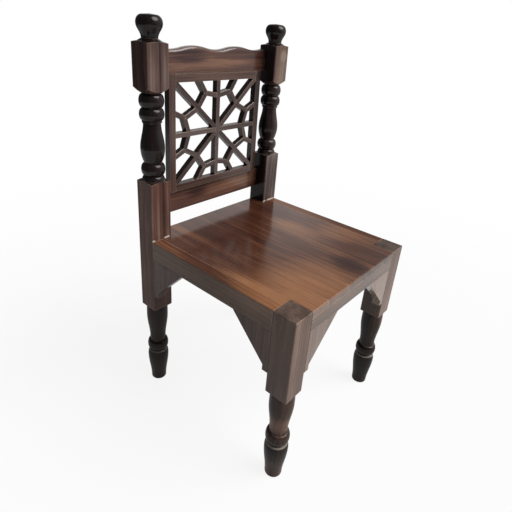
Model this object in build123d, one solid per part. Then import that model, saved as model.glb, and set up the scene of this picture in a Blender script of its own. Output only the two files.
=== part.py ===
from build123d import *
import math
import os

os.makedirs("parts", exist_ok=True)

# Millimetres. X runs to the viewer's right, Y from the front to the back, Z up from the floor.
# The origin is on the floor under the middle of the legs.

# The four corners
WIDTH = 464.0                # over the legs, side to side
DEPTH = 482.0                # over the legs, front to back
LEG = 55.0                   # side of the square blocks; the turnings reach the same width
SEAT_HEIGHT = 450.0          # floor to the seat's top and the front legs' tops
BLOCK_DROP = 48.0            # leg blocks, down past the gussets' tips
LOWER_BLOCK_RISE = 47.5      # posts' long blocks, up past the lower back rail
UPPER_BLOCK_DROP = 33.5      # posts' upper blocks, down past the crest rail
UPPER_BLOCK_RISE = 8.0       # posts' upper blocks, up past the crest rail's waves
BLOCK_ARRIS = 2.0            # rounding along the blocks' corners
BLOCK_END = 1.0              # bevel round the blocks' flat end faces
TOP_SLOPE = 3.0              # fall of the blocks' upper ends out to their corners
UNDER_SLOPE = 9.0            # rise of the upper blocks' lower ends out to their corners

# Turned feet and shafts below the blocks; insets are measured in from the turnings' widest lines
FOOT_INSET = 7.5
FOOT_ROUND = 3.0
CUP_HEIGHT = 84.0            # floor to the foot's widest line
CUP_SHOULDER = 20.0          # from that line up to the groove
LEG_GROOVE_INSET = 7.5
LEG_BEAD = 31.0              # height of the round bead above the groove
LEG_NECK_INSET = 7.0         # shaft just above the bead
NECK_LENGTH = 7.0
SWELL_DROP = 30.0            # from the block down to the shaft's widest line
SHAFT_END_INSET = 1.5        # where the shaft runs into the block

# Turned baluster between the posts' blocks
SHOULDER_INSET = 1.5         # where the blocks' sloping shoulders meet the turnings
SHOULDER_HEIGHT = 12.0
BALUSTER_GROOVE_INSET = 8.0
LOW_BEAD = 29.0
VASE_BELLY = 34.0            # from the low bead up to the vase's widest line
VASE_NECK_INSET = 8.0
RING_FILLET_INSET = 5.5      # thin band between the vase and the ring
RING_FILLET = 6.0
RING_UNDERSIDE = 12.0        # height of the ring below its widest line
RING_SLOPE = 14.0            # height of the ring above its widest line
TOP_BEAD = 30.0
NECK_HEIGHT = 2.5            # groove between the top bead and the collar
COLLAR_INSET = 3.0
COLLAR_HEIGHT = 1.5

# Turned finial on the upper block
FINIAL_CONE_HEIGHT = 5.0
FINIAL_NECK_INSET = 10.0
FINIAL_FLARE = 29.0          # from the cone up to the finial's widest line
FINIAL_ROUND = 13.0          # width of the rounded shoulder
FINIAL_CROWN = 15.5          # height of the rounded shoulder
FINIAL_DOME = 1.5            # rise of the nearly flat top

# Aprons, seat and gussets
APRON_HEIGHT = 50.0          # from the seat's top to the aprons' lower edge
APRON_THICK = 28.0
REAR_SETBACK = 7.0           # rear apron and seat edge, in from the posts' rear faces
SEAT_THICK = 18.0
SEAT_BOARDS = 5
SEAT_ROUND = 2.5             # rounding of the seat's outer top edges
GUSSET_REACH = 104.0         # along the apron and down the leg
GUSSET_TIP = 14.0            # width of the blunt lower end
GUSSET_THICK = 21.0
EDGE = 1.0                   # small rounding of other edges

# Back rails
LOWER_RAIL_GAP = 43.5        # from the seat's top to the lower rail's underside
LOWER_RAIL_HEIGHT = 55.0
CREST_HEIGHT = 58.5          # up to the tops of the waves
CREST_WAVE = 8.0             # from the dips to the tops of the waves
CREST_ARCS = 5               # dip, rise, dip, rise, dip
CREST_ROUND = 8.0            # rounding of the front top edge
RAIL_THICK = 18.0
RAIL_SETBACK = 36.0          # rails' front faces, in from the posts' front faces
RAIL_EDGE = 2.0

# Frame and fret between the rails
PANEL_GAP = 21.0             # open slot between each post and the frame
PANEL_HEIGHT = 280.0
PANEL_MEMBER = 19.0          # width of stiles and rails
PANEL_DEPTH = 17.0
PANEL_SETBACK = 28.0         # frame's front, in from the posts' front faces
FRET_BAR = 12.5
FRET_DEPTH = 16.0
FRET_SETBACK = 0.8           # bars' fronts, in from the frame's front
FRET_EDGE = 1.0
RING_RAIL_GAP = 36.0         # ring corner on the upright bar, in from the frame's rail
RING_STILE_GAP = 42.0        # ring corner on the level bar, in from the frame's stile
RING_CORNER_GAP = 93.8       # ring corner on each diagonal bar, in from the frame's corner
STAR_RAIL_GAP = 28.0         # upper and lower outer corners, in from the frame's rail
STAR_TOP_X = 42.0            # the same corners, from the upright bar's middle
STAR_STILE_GAP = 29.0        # outer corners at the sides, in from the frame's stile
STAR_SIDE_Z = 38.5           # the same corners, from the level bar's middle
SPUR_TOP_X = 61.0            # where the spurs meet the frame's rails
SPUR_SIDE_Z = 52.0           # where the spurs meet the frame's stiles

# Joints
FIT = 0.1                    # clearance of mortises and peg holes
TENON_THICK = 10.0
TENON_LENGTH = 22.0
TENON_SHOULDER = 6.0
PANEL_TENON_THICK = 6.0
PANEL_TENON_LENGTH = 12.0
PANEL_TENON_SHOULDER = 4.0
STUB_LENGTH = 8.0            # tenons of the upright and level bars
STUB_SHOULDER = 2.5
GUSSET_PEG = 8.0
GUSSET_PEG_LENGTH = 30.0
GUSSET_PEG_DROP = 42.0       # peg into the leg, below the apron
GUSSET_PEG_OUT = 52.0        # peg into the apron, out from the leg
SEAT_PEG = 8.0
SEAT_PEG_LENGTH = 20.0
PANEL_PEG = 5.0
PANEL_PEG_LENGTH = 24.0
PANEL_PEG_X = 80.0           # each side of the centre
EMBED = 5.0                  # how far each turning runs on inside its block

# Planes that several pieces share
LEFT = -WIDTH / 2
FRONT = -DEPTH / 2
BACK = DEPTH / 2
LEG_INNER_X = LEFT + LEG
LEG_REAR_Y = FRONT + LEG
POST_FRONT_Y = BACK - LEG
TURN_R = LEG / 2
FOOT_R = TURN_R - FOOT_INSET
LEG_GROOVE_R = TURN_R - LEG_GROOVE_INSET
LEG_NECK_R = TURN_R - LEG_NECK_INSET
SHAFT_END_R = TURN_R - SHAFT_END_INSET
SHOULDER_R = TURN_R - SHOULDER_INSET
BALUSTER_GROOVE_R = TURN_R - BALUSTER_GROOVE_INSET
VASE_NECK_R = TURN_R - VASE_NECK_INSET
RING_FILLET_R = TURN_R - RING_FILLET_INSET
COLLAR_R = TURN_R - COLLAR_INSET
FINIAL_NECK_R = TURN_R - FINIAL_NECK_INSET
APRON_BOTTOM = SEAT_HEIGHT - APRON_HEIGHT
BLOCK_BOTTOM = APRON_BOTTOM - GUSSET_REACH - BLOCK_DROP
SEAT_BOTTOM = SEAT_HEIGHT - SEAT_THICK
APRON_INNER_X = LEFT + APRON_THICK
SEAT_BACK_Y = BACK - REAR_SETBACK
RAIL_Y = POST_FRONT_Y + RAIL_SETBACK
LOWER_RAIL_BOTTOM = SEAT_HEIGHT + LOWER_RAIL_GAP
PANEL_BOTTOM = LOWER_RAIL_BOTTOM + LOWER_RAIL_HEIGHT
PANEL_TOP = PANEL_BOTTOM + PANEL_HEIGHT
CREST_TOP = PANEL_TOP + CREST_HEIGHT
CREST_MID = CREST_TOP - CREST_WAVE / 2
CREST_DIP = CREST_TOP - CREST_WAVE
LOWER_BLOCK_TOP = PANEL_BOTTOM + LOWER_BLOCK_RISE
UPPER_BLOCK_BOTTOM = PANEL_TOP - UPPER_BLOCK_DROP
UPPER_BLOCK_TOP = CREST_TOP + UPPER_BLOCK_RISE
PANEL_Y = POST_FRONT_Y + PANEL_SETBACK
PANEL_LEFT = LEG_INNER_X + PANEL_GAP
OPENING_X = -PANEL_LEFT - PANEL_MEMBER
OPENING_Z = PANEL_HEIGHT / 2 - PANEL_MEMBER
PANEL_MIDDLE = PANEL_BOTTOM + PANEL_HEIGHT / 2
FRET_Y = PANEL_Y + FRET_SETBACK


def save(node, shape):
    """Write one node's solids."""
    export_step(shape, f"parts/{node}.step")


def mirrored(shape):
    """The same piece on the other side of the chair."""
    return mirror(shape, about=Plane.YZ)


def save_pair(left_node, right_node, shape):
    """Write a left-hand piece and its mirror image."""
    save(left_node, shape)
    save(right_node, mirrored(shape))


def cuboid(x0, x1, y0, y1, z0, z1):
    """Box between six faces."""
    return Pos((x0 + x1) / 2, (y0 + y1) / 2, (z0 + z1) / 2) * Box(x1 - x0, y1 - y0, z1 - z0)


def mortise(x0, x1, y0, y1, z0, z1):
    """Room for the tenon between these six faces."""
    return cuboid(x0 - FIT, x1 + FIT, y0 - FIT, y1 + FIT, z0 - FIT, z1 + FIT)


def rounded_stick(bounds, axis, radius):
    """Box with its edges along one axis rounded."""
    stick = cuboid(*bounds)
    return fillet(stick.edges().filter_by(axis), radius)


def shoulder_cut(slope, way):
    """What the lathe takes off a block's corners at an end that faces up (way 1) or down (way -1)."""
    drop = slope * (LEG - SHOULDER_R) / (LEG / math.sqrt(2) - SHOULDER_R)
    outline = [(SHOULDER_R, 0), (LEG, -way * drop), (LEG, way * EMBED), (SHOULDER_R, way * EMBED)]
    return revolve(Plane.XZ * make_face(Polyline(*outline, close=True)), Axis.Z)


def block(x, y, z0, z1, under_slope=0.0, top_slope=0.0):
    """Square block of a leg or post, each end bevelled or sloping to its turning."""
    half = LEG / 2
    solid = rounded_stick((x - half, x + half, y - half, y + half, z0, z1), Axis.Z, BLOCK_ARRIS)
    low, high = solid.faces().filter_by(Axis.Z).sort_by(Axis.Z)
    flat_ends = [face for face, slope in ((low, under_slope), (high, top_slope)) if not slope]
    if flat_ends:
        solid = chamfer([edge for face in flat_ends for edge in face.edges()], BLOCK_END)
    if under_slope:
        solid -= Pos(x, y, z0) * shoulder_cut(under_slope, -1)
    if top_slope:
        solid -= Pos(x, y, z1) * shoulder_cut(top_slope, 1)
    return solid


def turned(x, y, edges):
    """Solid of revolution from an outline of radius and height that starts and ends on its axis."""
    start = edges[0] @ 0
    end = edges[-1] @ 1
    outline = edges + [Line(end, start)]
    return Pos(x, y, 0) * revolve(Plane.XZ * make_face(outline), Axis.Z)


def bead(low, widest, high):
    """Two quarter ellipses between points of radius and height: out to the widest line and in again."""
    under = EllipticalCenterArc((low[0], widest[1]), widest[0] - low[0], widest[1] - low[1], start_angle=-90)
    over = EllipticalCenterArc((high[0], widest[1]), widest[0] - high[0], high[1] - widest[1])
    return [under, over]


def foot_and_shaft(x, y):
    """Turning from the floor up into the block."""
    groove = CUP_HEIGHT + CUP_SHOULDER
    bead_top = groove + LEG_BEAD
    shaft = bead_top + NECK_LENGTH
    swell = BLOCK_BOTTOM - SWELL_DROP
    inside = BLOCK_BOTTOM + EMBED
    edges = [
        Line((0, 0), (FOOT_R - FOOT_ROUND, 0)),
        CenterArc((FOOT_R - FOOT_ROUND, FOOT_ROUND), FOOT_ROUND, -90, 90),
        Spline((FOOT_R, FOOT_ROUND), (TURN_R, CUP_HEIGHT), tangents=((0, 1), (0, 1))),
        EllipticalCenterArc((LEG_GROOVE_R, CUP_HEIGHT), TURN_R - LEG_GROOVE_R, CUP_SHOULDER),
    ]
    edges += bead((LEG_GROOVE_R, groove), (TURN_R, groove + LEG_BEAD / 2), (LEG_NECK_R, bead_top))
    edges += [
        Line((LEG_NECK_R, bead_top), (LEG_NECK_R, shaft)),
        Spline((LEG_NECK_R, shaft), (TURN_R, swell), tangents=((0, 1), (0, 1))),
        EllipticalCenterArc((SHAFT_END_R, swell), TURN_R - SHAFT_END_R, SWELL_DROP),
        Line((SHAFT_END_R, BLOCK_BOTTOM), (SHAFT_END_R, inside)),
        Line((SHAFT_END_R, inside), (0, inside)),
    ]
    return turned(x, y, edges)


def baluster(x, y):
    """Turning between the posts' two blocks."""
    bottom = LOWER_BLOCK_TOP - EMBED
    low_bead = LOWER_BLOCK_TOP + SHOULDER_HEIGHT
    vase = low_bead + LOW_BEAD
    collar = UPPER_BLOCK_BOTTOM - COLLAR_HEIGHT
    top_bead = collar - NECK_HEIGHT
    ring_top = top_bead - TOP_BEAD
    ring_wide = ring_top - RING_SLOPE
    ring_low = ring_wide - RING_UNDERSIDE
    fillet = ring_low - RING_FILLET
    top = UPPER_BLOCK_BOTTOM + EMBED
    edges = [
        Line((0, bottom), (SHOULDER_R, bottom)),
        Line((SHOULDER_R, bottom), (SHOULDER_R, LOWER_BLOCK_TOP)),
        EllipticalCenterArc(
            (BALUSTER_GROOVE_R, LOWER_BLOCK_TOP), SHOULDER_R - BALUSTER_GROOVE_R, SHOULDER_HEIGHT
        ),
    ]
    low_middle = low_bead + LOW_BEAD / 2
    edges += bead((BALUSTER_GROOVE_R, low_bead), (TURN_R, low_middle), (BALUSTER_GROOVE_R, vase))
    edges += [
        Spline((BALUSTER_GROOVE_R, vase), (TURN_R, vase + VASE_BELLY), tangents=((0.5, 1), (0, 1))),
        Spline((TURN_R, vase + VASE_BELLY), (VASE_NECK_R, fillet), tangents=((0, 1), (0, 1))),
        Line((VASE_NECK_R, fillet), (RING_FILLET_R, fillet)),
        Line((RING_FILLET_R, fillet), (RING_FILLET_R, ring_low)),
    ]
    edges += bead((RING_FILLET_R, ring_low), (TURN_R, ring_wide), (BALUSTER_GROOVE_R, ring_top))
    top_middle = ring_top + TOP_BEAD / 2
    edges += bead((BALUSTER_GROOVE_R, ring_top), (TURN_R, top_middle), (BALUSTER_GROOVE_R, top_bead))
    edges += [
        Line((BALUSTER_GROOVE_R, top_bead), (BALUSTER_GROOVE_R, collar)),
        Line((BALUSTER_GROOVE_R, collar), (COLLAR_R, collar)),
        Line((COLLAR_R, collar), (SHOULDER_R, UPPER_BLOCK_BOTTOM)),
        Line((SHOULDER_R, UPPER_BLOCK_BOTTOM), (SHOULDER_R, top)),
        Line((SHOULDER_R, top), (0, top)),
    ]
    return turned(x, y, edges)


def finial(x, y):
    """Turning on top of a post."""
    bottom = UPPER_BLOCK_TOP - EMBED
    cone = UPPER_BLOCK_TOP + FINIAL_CONE_HEIGHT
    widest = cone + FINIAL_FLARE
    crown = widest + FINIAL_CROWN
    flat_r = TURN_R - FINIAL_ROUND
    edges = [
        Line((0, bottom), (SHOULDER_R, bottom)),
        Line((SHOULDER_R, bottom), (SHOULDER_R, UPPER_BLOCK_TOP)),
        Line((SHOULDER_R, UPPER_BLOCK_TOP), (FINIAL_NECK_R, cone)),
        Spline((FINIAL_NECK_R, cone), (TURN_R, widest), tangents=((0, 1), (0, 1))),
        EllipticalCenterArc((flat_r, widest), FINIAL_ROUND, FINIAL_CROWN),
        Line((flat_r, crown), (0, crown + FINIAL_DOME)),
    ]
    return turned(x, y, edges)


def peg(centre, direction, diameter, length):
    """Round peg about its centre."""
    return Plane(origin=centre, z_dir=direction) * Cylinder(diameter / 2, length)


def peg_hole(centre, direction, diameter, length):
    """Room for the same peg."""
    return peg(centre, direction, diameter + 2 * FIT, length + 2 * FIT)


# Tenons as six faces: left ends of the cross pieces, both ends of the left apron
SIDE_TENON_X = LEFT + APRON_THICK / 2
side_section = (SIDE_TENON_X - TENON_THICK / 2, SIDE_TENON_X + TENON_THICK / 2)
side_heights = (APRON_BOTTOM + TENON_SHOULDER, SEAT_HEIGHT - TENON_SHOULDER)
side_tenon_front = (*side_section, LEG_REAR_Y - TENON_LENGTH, LEG_REAR_Y, *side_heights)
side_tenon_rear = (*side_section, POST_FRONT_Y, POST_FRONT_Y + TENON_LENGTH, *side_heights)


def cross_tenon(y_middle, z0, z1):
    """Tenon on the left end of a piece that runs from side to side."""
    half = TENON_THICK / 2
    return (LEG_INNER_X - TENON_LENGTH, LEG_INNER_X, y_middle - half, y_middle + half, z0, z1)


cross_heights = (APRON_BOTTOM + TENON_SHOULDER, SEAT_BOTTOM - TENON_SHOULDER)
front_tenon = cross_tenon(FRONT + APRON_THICK / 2, *cross_heights)
rear_tenon = cross_tenon(SEAT_BACK_Y - APRON_THICK / 2, *cross_heights)
rail_middle_y = RAIL_Y + RAIL_THICK / 2
lower_tenon = cross_tenon(rail_middle_y, LOWER_RAIL_BOTTOM + TENON_SHOULDER, PANEL_BOTTOM - TENON_SHOULDER)
crest_tenon = cross_tenon(rail_middle_y, PANEL_TOP + TENON_SHOULDER, CREST_DIP - TENON_SHOULDER)

# Gusset corners on the left half: where leg and apron meet, the way along the apron, the way in
gusset_corners = {
    "left_front": ((LEFT, LEG_REAR_Y, APRON_BOTTOM), (0, 1, 0), (1, 0, 0)),
    "left_rear": ((LEFT, POST_FRONT_Y, APRON_BOTTOM), (0, -1, 0), (1, 0, 0)),
    "front_left": ((LEG_INNER_X, FRONT, APRON_BOTTOM), (1, 0, 0), (0, 1, 0)),
    "rear_left": ((LEG_INNER_X, SEAT_BACK_Y, APRON_BOTTOM), (1, 0, 0), (0, -1, 0)),
}
right_names = {
    "left_front": "right_front",
    "left_rear": "right_rear",
    "front_left": "front_right",
    "rear_left": "rear_right",
}


def gusset_peg_places(corner, along, inward):
    """Centre and direction of the peg into the leg and the peg into the apron."""
    middle = Vector(*corner) + Vector(*inward) * (GUSSET_THICK / 2)
    into_leg = (middle - Vector(0, 0, GUSSET_PEG_DROP), along)
    into_apron = (middle + Vector(*along) * GUSSET_PEG_OUT, (0, 0, 1))
    return into_leg, into_apron


def gusset(corner, along, inward):
    """Triangular block with a blunt tip, flush with the leg's outer face."""
    slope_end = GUSSET_TIP - GUSSET_REACH
    profile = [
        (0, 0),
        (GUSSET_REACH, 0),
        (GUSSET_TIP, slope_end),
        (GUSSET_TIP, -GUSSET_REACH),
        (0, -GUSSET_REACH),
    ]
    points = [Vector(*corner) + Vector(*along) * u + Vector(0, 0, v) for u, v in profile]
    solid = extrude(make_face(Polyline(*points, close=True)), amount=GUSSET_THICK, dir=inward)
    outer_face = solid.faces().sort_by(Axis(corner, inward))[0]
    return fillet(outer_face.edges(), EDGE)


leg_holes = {}
apron_holes = {}
gusset_pegs = []
for name, place in gusset_corners.items():
    into_leg, into_apron = gusset_peg_places(*place)
    leg_holes[name] = peg_hole(*into_leg, GUSSET_PEG, GUSSET_PEG_LENGTH)
    apron_holes[name] = peg_hole(*into_apron, GUSSET_PEG, GUSSET_PEG_LENGTH)
    gusset_pegs.append(peg(*into_leg, GUSSET_PEG, GUSSET_PEG_LENGTH))
    gusset_pegs.append(peg(*into_apron, GUSSET_PEG, GUSSET_PEG_LENGTH))
    solid = gusset(*place) - leg_holes[name] - apron_holes[name]
    save_pair(f"gusset_{name}", f"gusset_{right_names[name]}", solid)
save("gusset_dowels", Compound(children=gusset_pegs + [mirrored(p) for p in gusset_pegs]))

# Legs and posts
corner_x = LEFT + TURN_R
leg_y = FRONT + TURN_R
front_leg = foot_and_shaft(corner_x, leg_y) + block(corner_x, leg_y, BLOCK_BOTTOM, SEAT_HEIGHT)
front_leg -= mortise(*side_tenon_front)
front_leg -= mortise(*front_tenon)
front_leg -= leg_holes["left_front"]
front_leg -= leg_holes["front_left"]
save_pair("front_leg_left", "front_leg_right", front_leg)

post_y = BACK - TURN_R
rear_post = foot_and_shaft(corner_x, post_y)
rear_post += block(corner_x, post_y, BLOCK_BOTTOM, LOWER_BLOCK_TOP, top_slope=TOP_SLOPE)
rear_post += baluster(corner_x, post_y)
rear_post += block(corner_x, post_y, UPPER_BLOCK_BOTTOM, UPPER_BLOCK_TOP, UNDER_SLOPE, TOP_SLOPE)
rear_post += finial(corner_x, post_y)
for tenon in (side_tenon_rear, rear_tenon, lower_tenon, crest_tenon):
    rear_post -= mortise(*tenon)
rear_post -= leg_holes["left_rear"]
rear_post -= leg_holes["rear_left"]
save_pair("rear_post_left", "rear_post_right", rear_post)

# Pegs between the seat boards and the front and rear aprons
seat_half = -APRON_INNER_X
board_width = 2 * seat_half / SEAT_BOARDS
board_middles = [-seat_half + board_width * (i + 0.5) for i in range(SEAT_BOARDS)]
peg_x = [max(LEG_INNER_X + board_width / 3, min(-LEG_INNER_X - board_width / 3, x)) for x in board_middles]
seat_peg_y = (FRONT + APRON_THICK / 2, SEAT_BACK_Y - APRON_THICK / 2)
seat_peg_places = [((x, y, SEAT_BOTTOM), (0, 0, 1)) for x in peg_x for y in seat_peg_y]
seat_peg_holes = [peg_hole(*place, SEAT_PEG, SEAT_PEG_LENGTH) for place in seat_peg_places]
seat_pegs = [peg(*place, SEAT_PEG, SEAT_PEG_LENGTH) for place in seat_peg_places]
save("seat_dowels", Compound(children=seat_pegs))

# Aprons
side_apron = cuboid(LEFT, APRON_INNER_X, LEG_REAR_Y, POST_FRONT_Y, APRON_BOTTOM, SEAT_HEIGHT)
outer_edges = side_apron.faces().sort_by(Axis.X)[0].edges().filter_by(Axis.Y).sort_by(Axis.Z)
side_apron = fillet(outer_edges[-1], SEAT_ROUND)
outer_edges = side_apron.faces().sort_by(Axis.X)[0].edges().filter_by(Axis.Y).sort_by(Axis.Z)
side_apron = fillet(outer_edges[0], EDGE)
side_apron += cuboid(*side_tenon_front)
side_apron += cuboid(*side_tenon_rear)
side_apron -= apron_holes["left_front"]
side_apron -= apron_holes["left_rear"]
save_pair("apron_left", "apron_right", side_apron)


def cross_apron(y0, y1, tenon, gusset_hole):
    """Apron under the seat boards at the front or the rear."""
    solid = rounded_stick((LEG_INNER_X, -LEG_INNER_X, y0, y1, APRON_BOTTOM, SEAT_BOTTOM), Axis.X, EDGE)
    for cut in (gusset_hole, mirrored(gusset_hole)):
        solid -= cut
    for hole in seat_peg_holes:
        solid -= hole
    left_tenon = cuboid(*tenon)
    return solid + left_tenon + mirrored(left_tenon)


save("apron_front", cross_apron(FRONT, FRONT + APRON_THICK, front_tenon, apron_holes["front_left"]))
save("apron_rear", cross_apron(SEAT_BACK_Y - APRON_THICK, SEAT_BACK_Y, rear_tenon, apron_holes["rear_left"]))

# Seat boards, cut round the legs and posts
leg_squares = []
for side in (-1, 1):
    edge_x = sorted((side * (LEG_INNER_X + FIT), side * (LEFT - FIT)))
    leg_squares.append(cuboid(*edge_x, FRONT - FIT, LEG_REAR_Y + FIT, APRON_BOTTOM, SEAT_HEIGHT + FIT))
    leg_squares.append(cuboid(*edge_x, POST_FRONT_Y - FIT, BACK + FIT, APRON_BOTTOM, SEAT_HEIGHT + FIT))
for i, middle in enumerate(board_middles):
    sides = (middle - board_width / 2, middle + board_width / 2)
    board = cuboid(*sides, FRONT, SEAT_BACK_Y, SEAT_BOTTOM, SEAT_HEIGHT)
    top_ends = board.faces().sort_by(Axis.Z)[-1].edges().filter_by(Axis.X)
    board = fillet(top_ends, SEAT_ROUND)
    for cut in leg_squares + seat_peg_holes:
        board -= cut
    save(f"seat_board_{i + 1}", board)

# Pegs that hold the frame between the back rails
overlap_y = (RAIL_Y + PANEL_Y + PANEL_DEPTH) / 2
panel_peg_places = []
for x in (-PANEL_PEG_X, PANEL_PEG_X):
    for z in (PANEL_BOTTOM, PANEL_TOP):
        panel_peg_places.append(((x, overlap_y, z), (0, 0, 1)))
panel_peg_holes = [peg_hole(*place, PANEL_PEG, PANEL_PEG_LENGTH) for place in panel_peg_places]
panel_pegs = [peg(*place, PANEL_PEG, PANEL_PEG_LENGTH) for place in panel_peg_places]
save("panel_dowels", Compound(children=panel_pegs))


def finish_rail(solid, tenon):
    """Add both tenons and drill for the frame's pegs."""
    left_tenon = cuboid(*tenon)
    solid = solid + left_tenon + mirrored(left_tenon)
    for hole in panel_peg_holes:
        solid -= hole
    return solid


# Back rails
rail_back = RAIL_Y + RAIL_THICK
lower_rail = rounded_stick(
    (LEG_INNER_X, -LEG_INNER_X, RAIL_Y, rail_back, LOWER_RAIL_BOTTOM, PANEL_BOTTOM), Axis.X, RAIL_EDGE
)
save("lower_back_rail", finish_rail(lower_rail, lower_tenon))

arc_length = -2 * LEG_INNER_X / CREST_ARCS
wave = []
for i in range(CREST_ARCS):
    start_x = LEG_INNER_X + i * arc_length
    end_x = start_x + arc_length
    rise = CREST_WAVE / 2 if i % 2 else -CREST_WAVE / 2
    top_of_arc = ((start_x + end_x) / 2, CREST_MID + rise)
    wave.append(ThreePointArc((start_x, CREST_MID), top_of_arc, (end_x, CREST_MID)))
crest_outline = wave + [
    Line((-LEG_INNER_X, CREST_MID), (-LEG_INNER_X, PANEL_TOP)),
    Line((-LEG_INNER_X, PANEL_TOP), (LEG_INNER_X, PANEL_TOP)),
    Line((LEG_INNER_X, PANEL_TOP), (LEG_INNER_X, CREST_MID)),
]
crest = extrude(Plane.XZ.offset(-RAIL_Y) * make_face(crest_outline), amount=-RAIL_THICK)
crest_front = crest.faces().sort_by(Axis.Y)[0]
crest = fillet(crest_front.edges().filter_by(GeomType.CIRCLE), CREST_ROUND)
crest_back = crest.faces().sort_by(Axis.Y)[-1]
crest = fillet(crest_back.edges().filter_by(GeomType.CIRCLE), RAIL_EDGE)
save("crest_rail", finish_rail(crest, crest_tenon))

# Frame round the fret
panel_back = PANEL_Y + PANEL_DEPTH
panel_mid_y = PANEL_Y + PANEL_DEPTH / 2
fret_mid_y = FRET_Y + FRET_DEPTH / 2
panel_tenon_y = (panel_mid_y - PANEL_TENON_THICK / 2, panel_mid_y + PANEL_TENON_THICK / 2)
stub_y = (fret_mid_y - PANEL_TENON_THICK / 2, fret_mid_y + PANEL_TENON_THICK / 2)
stub_half = FRET_BAR / 2 - STUB_SHOULDER
stub_x = OPENING_X + STUB_LENGTH
stub_z = OPENING_Z + STUB_LENGTH
level_stub = (-stub_x, stub_x, *stub_y, PANEL_MIDDLE - stub_half, PANEL_MIDDLE + stub_half)
upright_stub = (-stub_half, stub_half, *stub_y, PANEL_MIDDLE - stub_z, PANEL_MIDDLE + stub_z)


def panel_tenons(z0, z1):
    """Six faces of the bar that makes both tenons of a frame rail."""
    reach = OPENING_X + PANEL_TENON_LENGTH
    return (-reach, reach, *panel_tenon_y, z0 + PANEL_TENON_SHOULDER, z1 - PANEL_TENON_SHOULDER)


def panel_rail(z0, z1):
    """Frame rail with a tenon at each end."""
    solid = rounded_stick((-OPENING_X, OPENING_X, PANEL_Y, panel_back, z0, z1), Axis.X, EDGE)
    solid += cuboid(*panel_tenons(z0, z1))
    for hole in panel_peg_holes:
        solid -= hole
    return solid - mortise(*upright_stub)


bottom_rail_z = (PANEL_BOTTOM, PANEL_BOTTOM + PANEL_MEMBER)
top_rail_z = (PANEL_TOP - PANEL_MEMBER, PANEL_TOP)
save("panel_rail_bottom", panel_rail(*bottom_rail_z))
save("panel_rail_top", panel_rail(*top_rail_z))
stile = rounded_stick((PANEL_LEFT, -OPENING_X, PANEL_Y, panel_back, PANEL_BOTTOM, PANEL_TOP), Axis.Z, EDGE)
stile -= mortise(*panel_tenons(*bottom_rail_z))
stile -= mortise(*panel_tenons(*top_rail_z))
stile -= mortise(*level_stub)
save_pair("panel_stile_left", "panel_stile_right", stile)


def fret_stick(start, end, edge):
    """Bar between two points measured from the panel's centre, with bevelled front edges if edge is set."""
    run = Vector(end[0] - start[0], 0, end[1] - start[1])
    middle = Vector((start[0] + end[0]) / 2, fret_mid_y, PANEL_MIDDLE + (start[1] + end[1]) / 2)
    solid = Box(run.length, FRET_DEPTH, FRET_BAR)
    if edge:
        front_edges = solid.faces().sort_by(Axis.Y)[0].edges().filter_by(Axis.X)
        solid = chamfer(front_edges, edge)
    return Plane(origin=middle, x_dir=run, z_dir=Vector(0, -1, 0).cross(run)) * solid


# Long bars run across the opening, the diagonal ones a little past its corners before they are cut
opening_heights = (PANEL_MIDDLE - OPENING_Z, PANEL_MIDDLE + OPENING_Z)
opening = cuboid(-OPENING_X, OPENING_X, PANEL_Y, panel_back, *opening_heights)
past_x = OPENING_X + FRET_BAR
past_z = OPENING_Z * past_x / OPENING_X
long_ends = {
    "upright": ((0, -OPENING_Z), (0, OPENING_Z)),
    "level": ((-OPENING_X, 0), (OPENING_X, 0)),
    "rising": ((-past_x, -past_z), (past_x, past_z)),
    "falling": ((-past_x, past_z), (past_x, -past_z)),
}
stubs = {"upright": upright_stub, "level": level_stub}
long_names = list(long_ends)
envelopes = {name: fret_stick(*ends, 0) for name, ends in long_ends.items()}

# At the centre each bar keeps a quarter of the depth: each pair meets at one of three planes
quarter = FRET_DEPTH / 4
meeting = {(0, 1): 1, (0, 2): 2, (0, 3): 2, (1, 2): 2, (1, 3): 3, (2, 3): 3}


def depth_layer(y0, y1):
    """Slice of the fret's depth, as wide and tall as the frame."""
    return cuboid(PANEL_LEFT, -PANEL_LEFT, y0, y1, PANEL_BOTTOM, PANEL_TOP)


for i, name in enumerate(long_names):
    bar = fret_stick(*long_ends[name], FRET_EDGE) & opening
    for (first, second), step in meeting.items():
        plane_y = FRET_Y + step * quarter
        if i == first:
            bar -= envelopes[long_names[second]] & depth_layer(plane_y, FRET_Y + FRET_DEPTH)
        if i == second:
            bar -= envelopes[long_names[first]] & depth_layer(FRET_Y, plane_y)
    if name in stubs:
        bar += cuboid(*stubs[name]) - opening
    save(f"fret_bar_{name}", bar)


def sector(corner, angle, before, after):
    """Wedge of the panel's plane between the two mitre lines of a bar that leaves a corner."""
    far = 2 * WIDTH
    rays = [(before + angle) / 2, (after + angle) / 2]
    points = [corner] + [(corner[0] + far * math.cos(a), corner[1] + far * math.sin(a)) for a in rays]
    outline = [(x, PANEL_MIDDLE + z) for x, z in points]
    face = make_face(Polyline(*outline, close=True))
    return extrude(Plane.XZ.offset(-FRET_Y) * face, amount=-FRET_DEPTH)


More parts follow.
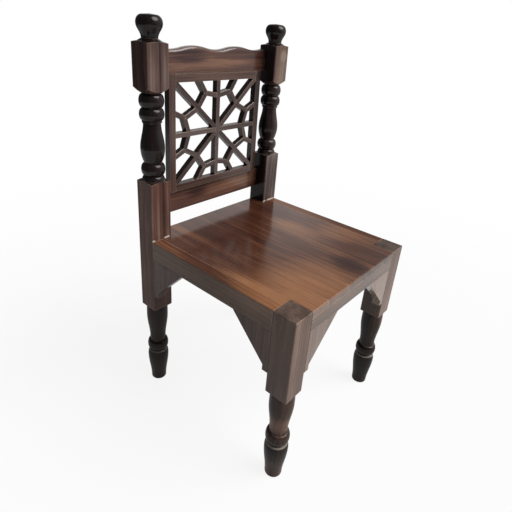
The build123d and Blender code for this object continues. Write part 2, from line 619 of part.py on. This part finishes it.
def outer_corner(corner, on_axis, on_diagonal, on_frame):
    """The two ring bars and the spur that meet in one outer corner of the ring."""
    targets = [on_axis, on_diagonal, on_frame]
    angles = [math.atan2(z - corner[1], x - corner[0]) for x, z in targets]
    order = sorted(range(3), key=lambda k: angles[k])
    bars = {}
    for place, k in enumerate(order):
        before = angles[order[place - 1]] - (2 * math.pi if place == 0 else 0)
        after = angles[order[(place + 1) % 3]] + (2 * math.pi if place == 2 else 0)
        target = targets[k]
        scale = FRET_BAR / math.dist(corner, target)
        past_corner = tuple(c - (t - c) * scale for c, t in zip(corner, target))
        past_target = tuple(t + (t - c) * scale for c, t in zip(corner, target))
        end = past_target if target is on_frame else target
        bar = fret_stick(past_corner, end, FRET_EDGE) & sector(corner, angles[k], before, after)
        if target is on_frame:
            bar = bar & opening
        else:
            for envelope in envelopes.values():
                bar -= envelope
        bars[k] = bar
    return bars[0], bars[1], bars[2]


ring_share = 1 - RING_CORNER_GAP / math.hypot(OPENING_X, OPENING_Z)
ring_up = OPENING_Z - RING_RAIL_GAP
ring_side = OPENING_X - RING_STILE_GAP
star_top = OPENING_Z - STAR_RAIL_GAP
star_side = OPENING_X - STAR_STILE_GAP
ring_count = 0
spur_count = 0
for sx, sz in ((-1, 1), (1, 1), (1, -1), (-1, -1)):
    diagonal = (sx * ring_share * OPENING_X, sz * ring_share * OPENING_Z)
    top_corner = (sx * STAR_TOP_X, sz * star_top)
    top_spur = (sx * SPUR_TOP_X, sz * OPENING_Z)
    side_corner = (sx * star_side, sz * STAR_SIDE_Z)
    side_spur = (sx * OPENING_X, sz * SPUR_SIDE_Z)
    corners = [
        (top_corner, (0, sz * ring_up), diagonal, top_spur),
        (side_corner, (sx * ring_side, 0), diagonal, side_spur),
    ]
    for corner in corners:
        first, second, spur = outer_corner(*corner)
        for bar in (first, second):
            ring_count += 1
            save(f"fret_ring_{ring_count:02d}", bar)
        spur_count += 1
        save(f"fret_spur_{spur_count}", spur)
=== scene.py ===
import math

import bpy
from mathutils import Euler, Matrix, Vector

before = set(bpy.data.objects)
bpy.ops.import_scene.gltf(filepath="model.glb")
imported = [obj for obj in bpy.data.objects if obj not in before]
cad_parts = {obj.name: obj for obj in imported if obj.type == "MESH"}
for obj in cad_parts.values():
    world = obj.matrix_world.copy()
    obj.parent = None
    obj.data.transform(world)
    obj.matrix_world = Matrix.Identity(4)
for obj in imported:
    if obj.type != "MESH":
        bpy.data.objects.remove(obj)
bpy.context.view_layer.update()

# Metres, in the frame of the CAD model: X to the viewer's right, Y from the front to the back, Z up

# Camera, as fitted to the photograph
CAMERA_PLACE = (-0.7838, -0.5779, 0.9402)
CAMERA_TURN = (65.4265, -4.0858, -48.8661)      # degrees
CAMERA_LENS = 30.32                             # millimetres
CAMERA_SENSOR = 36.0                            # millimetres
CAMERA_SHIFT_Y = -0.0664
CAMERA_REACH = 200.0

# Key light
KEY_FROM = (0.36, -0.58, 0.73)
KEY_STRENGTH = 3.9
KEY_ANGLE = 45.0                                # degrees, wide for soft shadows

# Room
BRIGHT_SIDE = (0.72, -0.50, 0.48)               # way to the room's bright side
BRIGHT_SPREAD = (0.45, 1.0)                     # cosines from that way, from dim to bright
ROOM_DIM = 0.16
ROOM_BRIGHT = 1.0
BACKDROP_WAY = (0.719, 0.695, 0.0)              # middle of the white backdrop behind the chair
BACKDROP_SIDES = (0.94, 0.985)                  # its soft sides, as cosines from the middle
BACKDROP_TOP = (0.54, 0.44)                     # its soft top, as the rise of a ray
WHITE = (1.0, 1.0, 1.0, 1.0)

# Floor
FLOOR_SIZE = 5.0
FLOOR_TONE = (0.64, 0.64, 0.64, 1.0)
FLOOR_WHITE = 0.88                              # share of plain white in the floor seen near the chair
FLOOR_FADE = (0.7, 2.2)                         # distances between which the rest turns white too

# Heights between which posts and legs are square; the rest is turned
LEG_BLOCK = (0.248, 0.451)
LOWER_BLOCK = (0.248, 0.596)
UPPER_BLOCK = (0.794, 0.895)

# Painted highlight lines: heights and half widths of the bands, and the share of the half width that is fully
# painted
FOOT_GROOVE = (0.1005, 0.0028)                  # painted highlight ring in the groove above each foot
SEAT_JOINT = (0.4515, 0.0030)                   # painted highlight line where the posts' fronts meet the seat
BAND_CORE = 0.4
POST_FRONT = 0.187
POST_FRONT_FADE = 0.002
HIGHLIGHT_PATCHES = (0.30, 0.50)                   # noise between which the ring is broken
HIGHLIGHT_STREAKS = (0.46, 0.56)                   # noise between which the highlight line at the posts' feet is broken

# Stained tones, from the darkest streaks to the palest
SEAT_TONES = ((0.024, 0.007, 0.005), (0.072, 0.027, 0.015), (0.250, 0.112, 0.052))
APRON_TONES = ((0.038, 0.020, 0.013), (0.100, 0.057, 0.038), (0.195, 0.126, 0.090))
GUSSET_TONES = ((0.026, 0.014, 0.012), (0.066, 0.039, 0.032), (0.140, 0.092, 0.074))
LEG_TONES = ((0.034, 0.016, 0.010), (0.092, 0.047, 0.029), (0.200, 0.126, 0.090))
LEG_TOP_TONES = ((0.028, 0.017, 0.013), (0.074, 0.047, 0.037), (0.148, 0.100, 0.080))
SHAFT_TONES = ((0.010, 0.006, 0.005), (0.052, 0.028, 0.020), (0.140, 0.078, 0.054))
BLOCK_TONES = ((0.022, 0.011, 0.010), (0.088, 0.041, 0.029), (0.215, 0.142, 0.122))
# dark stain with a painted grey sheen, for the right post's lower block
GREY_SHEEN_BLOCK_TONES = ((0.022, 0.015, 0.015), (0.086, 0.057, 0.051), (0.205, 0.165, 0.155))
UPPER_BLOCK_TONES = ((0.022, 0.014, 0.015), (0.084, 0.048, 0.040), (0.205, 0.155, 0.140))
OCHRE_BLOCK_TONES = ((0.022, 0.014, 0.015), (0.087, 0.049, 0.038), (0.212, 0.157, 0.122))
TURNED_TONES = ((0.005, 0.003, 0.003), (0.014, 0.008, 0.008), (0.043, 0.027, 0.024))
RAIL_TONES = ((0.026, 0.010, 0.009), (0.082, 0.036, 0.025), (0.185, 0.092, 0.056))
# painted reflection: pale grey on the crest rail's top
CREST_TOP_REFLECTION_TONES = ((0.060, 0.045, 0.040), (0.130, 0.105, 0.095), (0.240, 0.200, 0.185))
PANEL_TONES = ((0.024, 0.012, 0.010), (0.062, 0.033, 0.026), (0.120, 0.072, 0.056))
FRET_TONES = ((0.018, 0.011, 0.010), (0.054, 0.034, 0.030), (0.110, 0.076, 0.066))
# painted shade on the fret's inner faces
OPENING_SHADE_TONES = ((0.006, 0.004, 0.004), (0.018, 0.011, 0.010), (0.040, 0.027, 0.024))
PEG_TONES = ((0.300, 0.180, 0.090), (0.420, 0.270, 0.140), (0.540, 0.370, 0.210))
TONE_RANGE = (0.30, 0.72)                       # stain values of the darkest and the palest tone
# paler edges: wear, and partly a painted highlight on the rounded arrises
WORN_AND_HIGHLIGHT = (0.400, 0.290, 0.215, 1.0)
PORE = (0.010, 0.006, 0.005, 1.0)
# pale colour of the painted highlight lines
PAINTED_HIGHLIGHT = (0.560, 0.500, 0.430, 1.0)

# Grain: scale of each noise along and across the wood, its detail, and its roughness where not the usual
WANDER = ((2.2, 8.0, 8.0), 2.0)
PATCHES = ((3.0, 7.5, 7.5), 2.5)
STREAKS = ((1.4, 36.0, 36.0), 3.0)
FIBRES = ((8.0, 300.0, 300.0), 5.0, 0.65)
PORES = ((45.0, 1300.0, 1300.0), 2.0)
BRUSH_MARKS = ((14.0, 40.0, 40.0), 2.0)
NOISE_ROUGHNESS = 0.55
NOISE_MIDDLE = (0.5, 0.5, 0.5)
WANDER_REACH = (0.0, 0.022, 0.022)              # how far the grain strays sideways
SEED_STEPS = (1.37, 0.71, 0.53)                 # shift of the grain from one piece to the next
SEED_CYCLES = (3.0, 2.0, 2.0)
RING_STRETCH = (0.22, 1.0, 1.0)
RING_PITH = (0.0, 0.035, 0.06)                  # the year rings' middle, beside the piece
RING_WAVE = {"Scale": 38.0, "Distortion": 2.2, "Detail": 2.0, "Detail Scale": 1.4}
FIGURE_SHARES = {"patch": 0.60, "streak": 0.48, "fibre": 0.34, "rings": 0.09}
SPOT_EDGE = (1.25, 0.25)                        # soft edge of a spot, in half sizes from its middle
SPOT_STREAKS = 1.4                              # how far streaks and fibres make that edge ragged
SPOT_FIBRES = 0.9
PORE_EDGE = (0.40, 0.30)
PORE_DEPTH = 0.40

# Faces by the way they look: tilts between which one tone gives way to another
SHOULDER_TILT = (0.7, 0.3)
OPENING_TILT = (0.7, 0.3)
TOP_TILT = (0.6, 0.9)
END_TILT = (0.88, 0.98)
END_DARKER = 0.07

# Worn edges, paler partly from wear and partly as a painted highlight along the arrises
WEAR_RADIUS = 0.0030
WEAR_SAMPLES = 4
WEAR_BEND = (0.995, 0.88)                       # cosines at which an edge starts to wear and is fully worn
WEAR_STREAKS = (0.32, 0.58)
WEAR_FADE = 0.008
SEAT_WEAR_BEFORE = -0.236                       # the boards' edges are worn, with a painted highlight, only in front of this

# Surface
ROUGHNESS = (0.34, 0.50)
ROUGH_FIBRES = (0.25, 0.75)
RELIEF_RINGS = 0.25
GRAIN_BUMP = {"Strength": 0.25, "Distance": 0.0004}
BRUSH_BUMP = {"Strength": 0.2, "Distance": 0.0006}
COAT_ROUGHNESS = 0.17

# Paler and darker places, some of them stain and some painted light and shade: middle, half sizes, and how
# far the tone moves
SEAT_SPOTS = (
    ((-0.120, -0.190, 0.450), (0.130, 0.130, 0.050), 0.18),
    ((-0.215, -0.130, 0.450), (0.045, 0.140, 0.050), 0.17),
    ((0.045, -0.195, 0.450), (0.042, 0.055, 0.050), -0.20),
    ((0.130, 0.020, 0.450), (0.110, 0.150, 0.050), 0.10),
    ((0.170, -0.110, 0.450), (0.050, 0.090, 0.050), 0.12),
    ((-0.080, 0.090, 0.450), (0.120, 0.110, 0.050), -0.08),
    # painted reflection: darker where the seat mirrors the right rear post
    ((0.110, 0.130, 0.450), (0.080, 0.080, 0.050), -0.10),
)
# painted sheen: the front gussets paler
GUSSET_SHEEN_SPOTS = (
    ((0.0, -0.230, 0.350), (0.400, 0.080, 0.150), 0.07),
)
LEFT_LEG_SPOTS = (
    ((-0.2045, -0.2135, 0.085), (0.080, 0.080, 0.050), -0.20),
    ((-0.2045, -0.2135, 0.165), (0.080, 0.080, 0.030), 0.22),
    # painted shade: the front left leg's left face darker
    ((-0.2320, -0.2135, 0.340), (0.010, 0.060, 0.200), -0.05),
)
RIGHT_LEG_SPOTS = (
    ((0.2045, -0.2135, 0.100), (0.120, 0.120, 0.160), -0.22),
    # painted shade: the front right leg's left face darker
    ((0.177, -0.2135, 0.300), (0.008, 0.060, 0.200), -0.20),
)
LEFT_POST_SPOTS = (
    # painted sheen: the upper block's front paler
    ((-0.2045, 0.186, 0.846), (0.034, 0.012, 0.080), 0.11),
    ((-0.223, 0.186, 0.850), (0.009, 0.012, 0.200), 0.08),
    ((-0.199, 0.186, 0.850), (0.003, 0.012, 0.200), -0.12),
    ((-0.214, 0.186, 0.520), (0.005, 0.012, 0.150), 0.12),
    ((-0.196, 0.186, 0.520), (0.006, 0.012, 0.150), -0.14),
    ((-0.2045, 0.2135, 0.200), (0.080, 0.080, 0.060), 0.12),
)
RIGHT_POST_SPOTS = (
    ((0.214, 0.186, 0.868), (0.014, 0.012, 0.016), 0.24),
    # painted sheen: the upper block's front paler
    ((0.2045, 0.186, 0.846), (0.034, 0.012, 0.080), 0.10),
    ((0.2045, 0.186, 0.520), (0.040, 0.030, 0.100), -0.18),
    # painted shade: the right post's inner face much darker
    ((0.177, 0.2135, 0.700), (0.006, 0.060, 0.500), -0.40),
)
CREST_SPOTS = (
    ((-0.090, 0.222, 0.862), (0.060, 0.030, 0.022), -0.20),
    ((0.060, 0.222, 0.850), (0.110, 0.030, 0.010), 0.14),
)
LOWER_RAIL_SPOTS = (
    ((-0.060, 0.222, 0.530), (0.045, 0.030, 0.018), -0.20),
    ((0.070, 0.222, 0.520), (0.120, 0.030, 0.022), 0.14),
)
# painted shade: the fret's right stile darker
RIGHT_STILE_SHADE_SPOTS = (
    ((0.150, 0.222, 0.690), (0.040, 0.060, 0.300), -0.10),
)

# Turns that lay X along the grain
ALONG_X = (0.0, 0.0, 0.0)
ALONG_Y = (0.0, 0.0, math.radians(-90))
ALONG_Z = (0.0, math.radians(90), 0.0)


def empty_nodes(owner):
    """Empty node tree of a material or world."""
    owner.use_nodes = True
    owner.node_tree.nodes.clear()
    return owner.node_tree


def feed(tree, node, key, value):
    """Set an input to a plain value, or link it to an output."""
    if isinstance(value, bpy.types.NodeSocket):
        tree.links.new(value, node.inputs[key])
    else:
        node.inputs[key].default_value = value


def add(tree, kind, sockets=None, **settings):
    """New node; sockets maps its inputs to plain values or to the outputs that feed them."""
    made = tree.nodes.new(kind)
    for key, value in settings.items():
        setattr(made, key, value)
    for key, value in (sockets or {}).items():
        feed(tree, made, key, value)
    return made


def calc(tree, operation, *values):
    """Result of one step of arithmetic."""
    return add(tree, "ShaderNodeMath", dict(enumerate(values)), operation=operation).outputs[0]


def vector(tree, operation, *values):
    """Vector from one step of vector arithmetic."""
    return add(tree, "ShaderNodeVectorMath", dict(enumerate(values)), operation=operation).outputs[0]


def measure(tree, operation, *values):
    """Number from one step of vector arithmetic."""
    return add(tree, "ShaderNodeVectorMath", dict(enumerate(values)), operation=operation).outputs["Value"]


def parts(tree, value):
    """X, Y and Z of a vector."""
    return add(tree, "ShaderNodeSeparateXYZ", {"Vector": value}).outputs


def spread(tree, value, low, high, to_low=0.0, to_high=1.0):
    """Value taken smoothly from one range to another and held at its ends."""
    sockets = {"Value": value, "From Min": low, "From Max": high, "To Min": to_low, "To Max": to_high}
    return add(tree, "ShaderNodeMapRange", sockets, interpolation_type="SMOOTHSTEP").outputs["Result"]


def noise(tree, place, stretch, detail, roughness=NOISE_ROUGHNESS):
    """Noise over a place stretched along the grain."""
    scaled = vector(tree, "MULTIPLY", place, stretch)
    sockets = {"Vector": scaled, "Scale": 1.0, "Detail": detail, "Roughness": roughness}
    return add(tree, "ShaderNodeTexNoise", sockets).outputs


def blended(tree, factor, first, second):
    """Two colours mixed by a factor."""
    return add(tree, "ShaderNodeMix", {0: factor, 6: first, 7: second}, data_type="RGBA").outputs[2]


def toned(tree, stain_and_light, tones):
    """Colour ramp from the darkest to the palest of three tones."""
    low, high = TONE_RANGE
    made = add(tree, "ShaderNodeValToRGB", {"Fac": stain_and_light})
    stops = made.color_ramp.elements
    stops[0].position = low
    stops[0].color = (*tones[0], 1.0)
    stops[1].position = high
    stops[1].color = (*tones[2], 1.0)
    middle = stops.new((low + high) / 2)
    middle.color = (*tones[1], 1.0)
    return made.outputs["Color"]


def band(tree, height, middle, half_width, most=1.0):
    """Soft band round a height."""
    away = calc(tree, "ABSOLUTE", calc(tree, "SUBTRACT", height, middle))
    return spread(tree, away, half_width, half_width * BAND_CORE, 0.0, most)


def grain_space(tree, coords, turn, seed):
    """Places with X along the grain, shifted for each piece and straying a little sideways."""
    shift = tuple(seed * step % cycle for step, cycle in zip(SEED_STEPS, SEED_CYCLES))
    sockets = {"Vector": coords, "Rotation": turn, "Location": shift}
    straight = add(tree, "ShaderNodeMapping", sockets).outputs[0]
    stray = vector(tree, "SUBTRACT", noise(tree, straight, *WANDER)["Color"], NOISE_MIDDLE)
    return vector(tree, "ADD", straight, vector(tree, "MULTIPLY", stray, WANDER_REACH))


def year_rings(tree, grain):
    """Year rings cut lengthwise."""
    place = vector(tree, "ADD", vector(tree, "MULTIPLY", grain, RING_STRETCH), RING_PITH)
    made = add(
        tree, "ShaderNodeTexWave", {"Vector": place, **RING_WAVE},
        wave_type="RINGS", rings_direction="X", wave_profile="SAW",
    )
    return made.outputs["Fac"]


def stained_and_lit(tree, coords, figure, contrast, spots):
    """How pale the wood is: its figure, moved up or down at the spots, several of which are painted light and
    shade.
    """
    stain_and_light = 0.5 - sum(FIGURE_SHARES.values()) * contrast / 2
    for source, share in FIGURE_SHARES.items():
        stain_and_light = calc(tree, "MULTIPLY_ADD", figure[source], share * contrast, stain_and_light)
    ragged = calc(tree, "MULTIPLY_ADD", figure["streak"], SPOT_STREAKS, -(SPOT_STREAKS + SPOT_FIBRES) / 2)
    ragged = calc(tree, "MULTIPLY_ADD", figure["fibre"], SPOT_FIBRES, ragged)
    for middle, size, change in spots:
        away = vector(tree, "DIVIDE", vector(tree, "SUBTRACT", coords, middle), size)
        reach = calc(tree, "ADD", measure(tree, "LENGTH", away), ragged)
        stain_and_light = calc(tree, "ADD", stain_and_light, spread(tree, reach, *SPOT_EDGE, 0.0, change))
    return stain_and_light


def wear_and_highlight(tree, normal, depth, streak, wear, wear_before):
    """How far edges wear and take a painted highlight, in streaks, on the whole piece or only in front of a
    depth.
    """
    soft = add(tree, "ShaderNodeBevel", {"Radius": WEAR_RADIUS}, samples=WEAR_SAMPLES).outputs["Normal"]
    wear_highlight = spread(tree, measure(tree, "DOT_PRODUCT", normal, soft), *WEAR_BEND, 0.0, wear)
    wear_highlight = calc(tree, "MULTIPLY", wear_highlight, spread(tree, streak, *WEAR_STREAKS))
    if wear_before is not None:
        wear_highlight = calc(tree, "MULTIPLY", wear_highlight, spread(tree, depth, wear_before + WEAR_FADE, wear_before))
    return wear_highlight


def wood(
    name, turn, seed, tones,
    blocks=(), post=False, ends=None, tops=None, openings=None, spots=(), rubbed=0.0,
    coat=0.45, turned_coat=None, foot_coat=None, contrast=1.0, wear=0.45, wear_before=None,
):
    """Varnished wood whose grain follows the X axis of the object's space turned by turn.

    blocks pairs the heights of square blocks with their tones, on a piece that is turned elsewhere.
    The tones given for ends and tops colour end grain and faces that look up; those given for the fret colour
    its inner faces with painted shade.
    """
    material = bpy.data.materials.new(name)
    tree = empty_nodes(material)
    coords = add(tree, "ShaderNodeTexCoord").outputs["Object"]
    normal = add(tree, "ShaderNodeNewGeometry").outputs["Normal"]
    place = parts(tree, coords)
    facing = parts(tree, normal)
    grain = grain_space(tree, coords, turn, seed)
    figure = {
        "patch": noise(tree, grain, *PATCHES)["Fac"],
        "streak": noise(tree, grain, *STREAKS)["Fac"],
        "fibre": noise(tree, grain, *FIBRES)["Fac"],
        "rings": year_rings(tree, grain),
    }
    stain_and_light = stained_and_lit(tree, coords, figure, contrast, spots)
    colour = toned(tree, stain_and_light, tones)

    square = 0.0
    for (low, high), block_tones in blocks:
        above = calc(tree, "GREATER_THAN", place["Z"], low)
        inside = calc(tree, "MULTIPLY", above, calc(tree, "LESS_THAN", place["Z"], high))
        if post:
            inside = calc(tree, "MULTIPLY", inside, spread(tree, facing["Z"], *SHOULDER_TILT))
        colour = blended(tree, inside, colour, toned(tree, stain_and_light, block_tones))
        square = calc(tree, "ADD", square, inside)
    if blocks:
        coat = calc(tree, "MULTIPLY_ADD", square, coat - turned_coat, turned_coat)
    if foot_coat is not None:
        below = calc(tree, "LESS_THAN", place["Z"], LOWER_BLOCK[0])
        coat = calc(tree, "MULTIPLY_ADD", below, foot_coat - turned_coat, coat)
    # painted shade: darker tones on the fret's inner faces
    if openings:
        inner = spread(tree, calc(tree, "ABSOLUTE", facing["Y"]), *OPENING_TILT)
        colour = blended(tree, inner, colour, toned(tree, stain_and_light, openings))
    # faces that look up: end grain on the legs, seat wood on the side aprons, and a painted reflection on the
    # crest rail
    if tops:
        colour = blended(tree, spread(tree, facing["Z"], *TOP_TILT), colour, toned(tree, stain_and_light, tops))
    if not blocks:
        along = Euler(turn).to_matrix().inverted() @ Vector((1.0, 0.0, 0.0))
        across = calc(tree, "ABSOLUTE", measure(tree, "DOT_PRODUCT", normal, along))
        end_stain_and_light = calc(tree, "SUBTRACT", stain_and_light, END_DARKER)
        colour = blended(tree, spread(tree, across, *END_TILT), colour, toned(tree, end_stain_and_light, ends or tones))

    dark_pores = spread(tree, noise(tree, grain, *PORES)["Fac"], *PORE_EDGE, 0.0, PORE_DEPTH)
    colour = blended(tree, dark_pores, colour, PORE)
    # paler edges: wear, and partly a painted highlight on the rounded arrises
    wear_highlight = wear_and_highlight(tree, normal, place["Y"], figure["streak"], wear, wear_before)
    colour = blended(tree, wear_highlight, colour, WORN_AND_HIGHLIGHT)
    # painted highlight ring in the groove above the foot
    if rubbed:
        highlight = band(tree, place["Z"], *FOOT_GROOVE, rubbed)
        highlight = calc(tree, "MULTIPLY", highlight, spread(tree, figure["patch"], *HIGHLIGHT_PATCHES))
        colour = blended(tree, highlight, colour, PAINTED_HIGHLIGHT)
    # painted highlight line where the post's front meets the seat
    if post:
        highlight = band(tree, place["Z"], *SEAT_JOINT)
        front = spread(tree, place["Y"], POST_FRONT + POST_FRONT_FADE, POST_FRONT)
        highlight = calc(tree, "MULTIPLY", highlight, front)
        highlight = calc(tree, "MULTIPLY", highlight, spread(tree, figure["streak"], *HIGHLIGHT_STREAKS))
        colour = blended(tree, highlight, colour, PAINTED_HIGHLIGHT)

    relief = calc(tree, "SUBTRACT", figure["fibre"], dark_pores)
    relief = calc(tree, "MULTIPLY_ADD", figure["rings"], RELIEF_RINGS, relief)
    brushed = noise(tree, grain, *BRUSH_MARKS)["Fac"]
    shader = add(tree, "ShaderNodeBsdfPrincipled", {
        "Base Color": colour,
        "Roughness": spread(tree, figure["fibre"], *ROUGH_FIBRES, *ROUGHNESS),
        "Normal": add(tree, "ShaderNodeBump", {"Height": relief, **GRAIN_BUMP}).outputs[0],
        "Coat Normal": add(tree, "ShaderNodeBump", {"Height": brushed, **BRUSH_BUMP}).outputs[0],
        "Coat Weight": coat,
        "Coat Roughness": COAT_ROUGHNESS,
        "Specular IOR Level": 0.0,
    })
    add(tree, "ShaderNodeOutputMaterial", {"Surface": shader.outputs[0]})
    return material


def along_bar(piece):
    """Turn that lays X along a straight bar of the fret, from the spread of its corners."""
    points = [v.co for v in piece.data.vertices]
    middle_x = sum(p.x for p in points) / len(points)
    middle_z = sum(p.z for p in points) / len(points)
    xx = sum((p.x - middle_x) ** 2 for p in points)
    zz = sum((p.z - middle_z) ** 2 for p in points)
    xz = sum((p.x - middle_x) * (p.z - middle_z) for p in points)
    return (0.0, math.atan2(2 * xz, xx - zz) / 2, 0.0)


def dress(piece, *args, **kwargs):
    """Give a CAD node its own wood."""
    piece.data.materials.clear()
    piece.data.materials.append(wood(f"{piece.name}_wood", *args, **kwargs))


def shown_rays(tree, mirrored=None):
    """1 for the rays that show the background, with those off gloss only where it is mirrored."""
    rays = add(tree, "ShaderNodeLightPath").outputs
    glossy = rays["Is Glossy Ray"]
    if mirrored is not None:
        glossy = calc(tree, "MULTIPLY", glossy, mirrored)
    straight = calc(tree, "MAXIMUM", rays["Is Camera Ray"], rays["Is Transmission Ray"])
    return calc(tree, "MAXIMUM", straight, glossy)


for seed, (name, piece) in enumerate(sorted(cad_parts.items()), 1):
    left = name.endswith("left")
    if name.startswith("rear_post"):
        lower_tones = BLOCK_TONES if left else GREY_SHEEN_BLOCK_TONES
        upper_tones = UPPER_BLOCK_TONES if left else OCHRE_BLOCK_TONES
        dress(
            piece, ALONG_Z, seed, TURNED_TONES,
            blocks=((LOWER_BLOCK, lower_tones), (UPPER_BLOCK, upper_tones)), post=True,
            spots=LEFT_POST_SPOTS if left else RIGHT_POST_SPOTS, rubbed=0.2, contrast=0.85,
            coat=0.30, turned_coat=0.48, foot_coat=0.26,
        )
    elif name.startswith("front_leg"):
        dress(
            piece, ALONG_Z, seed, SHAFT_TONES, blocks=((LEG_BLOCK, LEG_TONES),), tops=LEG_TOP_TONES,
            spots=LEFT_LEG_SPOTS if left else RIGHT_LEG_SPOTS, rubbed=0.35,
            coat=0.62, turned_coat=0.32,
        )
    elif name.startswith("seat_board"):
        dress(
            piece, ALONG_Y, seed, SEAT_TONES, ends=APRON_TONES, spots=SEAT_SPOTS, contrast=0.7,
            coat=0.85, wear=0.7, wear_before=SEAT_WEAR_BEFORE,
        )
    elif name in ("apron_left", "apron_right"):
        dress(piece, ALONG_Y, seed, APRON_TONES, tops=SEAT_TONES, spots=SEAT_SPOTS, contrast=0.7, wear=0.75)
    elif name.startswith("apron"):
        dress(piece, ALONG_X, seed, APRON_TONES, coat=0.9)
    elif name.endswith("dowels"):
        dress(piece, ALONG_Z, seed, PEG_TONES, coat=0.0)
    elif name.startswith(("gusset_front", "gusset_rear")):
        dress(piece, ALONG_Z, seed, APRON_TONES, spots=GUSSET_SHEEN_SPOTS, coat=1.0)
    elif name.startswith("gusset"):
        dress(piece, ALONG_Z, seed, GUSSET_TONES)
    elif name == "crest_rail":
        # its pale grey top is a painted reflection
        dress(piece, ALONG_X, seed, RAIL_TONES, tops=CREST_TOP_REFLECTION_TONES, spots=CREST_SPOTS, coat=0.85)
    elif name == "lower_back_rail":
        dress(piece, ALONG_X, seed, RAIL_TONES, spots=LOWER_RAIL_SPOTS, coat=0.6)
    elif name.startswith("panel"):
        spots = RIGHT_STILE_SHADE_SPOTS if name == "panel_stile_right" else ()
        dress(piece, along_bar(piece), seed, PANEL_TONES, openings=OPENING_SHADE_TONES, spots=spots, coat=0.6)
    else:
        dress(piece, along_bar(piece), seed, FRET_TONES, openings=OPENING_SHADE_TONES, coat=0.6)

# Floor: it takes shadows, and seen directly or in gloss it is mostly plain white
bpy.ops.mesh.primitive_plane_add(size=FLOOR_SIZE)
floor = bpy.context.object
floor.name = "floor"
floor_material = bpy.data.materials.new("floor_pale")
tree = empty_nodes(floor_material)
distance = measure(tree, "LENGTH", add(tree, "ShaderNodeTexCoord").outputs["Object"])
share = spread(tree, distance, *FLOOR_FADE, FLOOR_WHITE, 1.0)
share = calc(tree, "MULTIPLY", shown_rays(tree), share)
lit = add(tree, "ShaderNodeBsdfDiffuse", {"Color": FLOOR_TONE}).outputs[0]
white = add(tree, "ShaderNodeEmission", {"Color": WHITE, "Strength": 1.0}).outputs[0]
mixed = add(tree, "ShaderNodeMixShader", {0: share, 1: lit, 2: white}).outputs[0]
add(tree, "ShaderNodeOutputMaterial", {"Surface": mixed})
floor.data.materials.append(floor_material)

# Room: soft light from one side, and a white backdrop
world = bpy.data.worlds.new("room")
bpy.context.scene.world = world
tree = empty_nodes(world)
way = add(tree, "ShaderNodeTexCoord").outputs["Generated"]
room = spread(tree, measure(tree, "DOT_PRODUCT", way, BRIGHT_SIDE), *BRIGHT_SPREAD, ROOM_DIM, ROOM_BRIGHT)
level = vector(tree, "NORMALIZE", vector(tree, "MULTIPLY", way, (1.0, 1.0, 0.0)))
behind = spread(tree, measure(tree, "DOT_PRODUCT", level, BACKDROP_WAY), *BACKDROP_SIDES)
under = spread(tree, parts(tree, way)["Z"], *BACKDROP_TOP)
share = shown_rays(tree, calc(tree, "MULTIPLY", behind, under))
lit = add(tree, "ShaderNodeBackground", {"Color": WHITE, "Strength": room}).outputs[0]
white = add(tree, "ShaderNodeBackground", {"Color": WHITE, "Strength": 1.0}).outputs[0]
mixed = add(tree, "ShaderNodeMixShader", {0: share, 1: lit, 2: white}).outputs[0]
add(tree, "ShaderNodeOutputWorld", {"Surface": mixed})

key_data = bpy.data.lights.new("key", "SUN")
key_data.energy = KEY_STRENGTH
key_data.angle = math.radians(KEY_ANGLE)
key = bpy.data.objects.new("key", key_data)
key.rotation_euler = Vector(KEY_FROM).to_track_quat("Z", "Y").to_euler()
bpy.context.scene.collection.objects.link(key)

camera_data = bpy.data.cameras.new("camera")
camera_data.sensor_width = CAMERA_SENSOR
camera_data.lens = CAMERA_LENS
camera_data.shift_y = CAMERA_SHIFT_Y
camera_data.clip_end = CAMERA_REACH
camera = bpy.data.objects.new("camera", camera_data)
camera.location = CAMERA_PLACE
camera.rotation_euler = Euler([math.radians(a) for a in CAMERA_TURN])
bpy.context.scene.collection.objects.link(camera)
bpy.context.scene.camera = camera

bpy.context.scene.view_settings.view_transform = "Standard"
